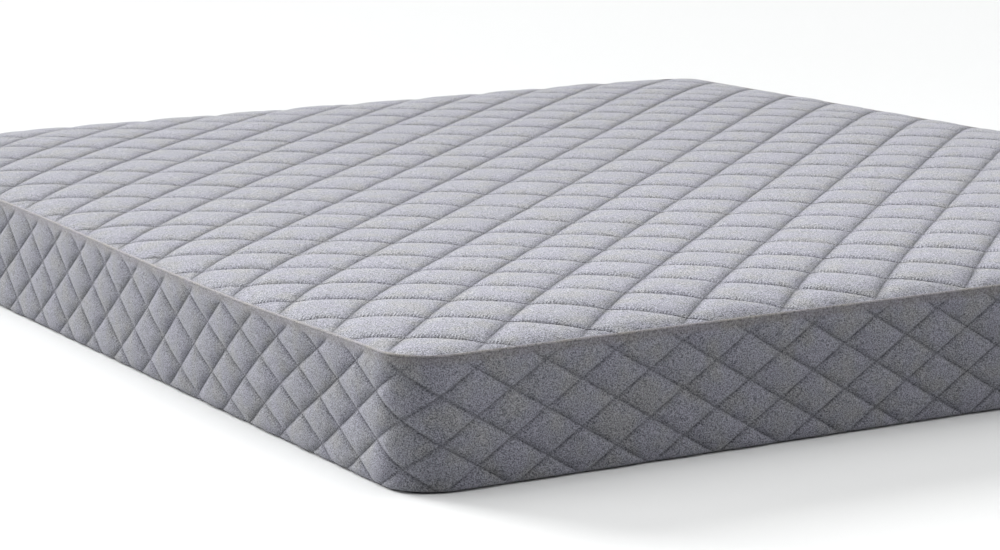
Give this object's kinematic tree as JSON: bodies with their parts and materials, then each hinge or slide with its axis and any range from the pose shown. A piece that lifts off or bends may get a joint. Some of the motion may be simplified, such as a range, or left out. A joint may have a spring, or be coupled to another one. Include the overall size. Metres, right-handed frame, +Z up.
{
  "type": "foam mattress",
  "caption": "Rectangular foam mattress with rounded corners: crowned diamond-quilted top panel, quilted border, thin rim seam and plain base panel.",
  "frame": {"origin": "under the middle of the mattress, on the surface that it lies on", "axes": "+X along the short side, +Y along the long side, +Z up. The corner nearest the camera in the picture is the one at -X, -Y"},
  "size_m": [1.6125, 2.0042, 0.1698],
  "materials": {
    "top_knit": "brushed light grey knit, diamond quilted",
    "border_knit": "brushed grey knit, diamond quilted",
    "seam_knit": "the same knit, smooth where it is folded over the seam",
    "base_cloth": "plain woven grey cloth"
  },
  "bodies": {
    "root": {"top_panel": "top_knit", "quilted_border": "border_knit", "rim_seam": "seam_knit", "base_panel": "base_cloth"}
  },
  "joints": []
}
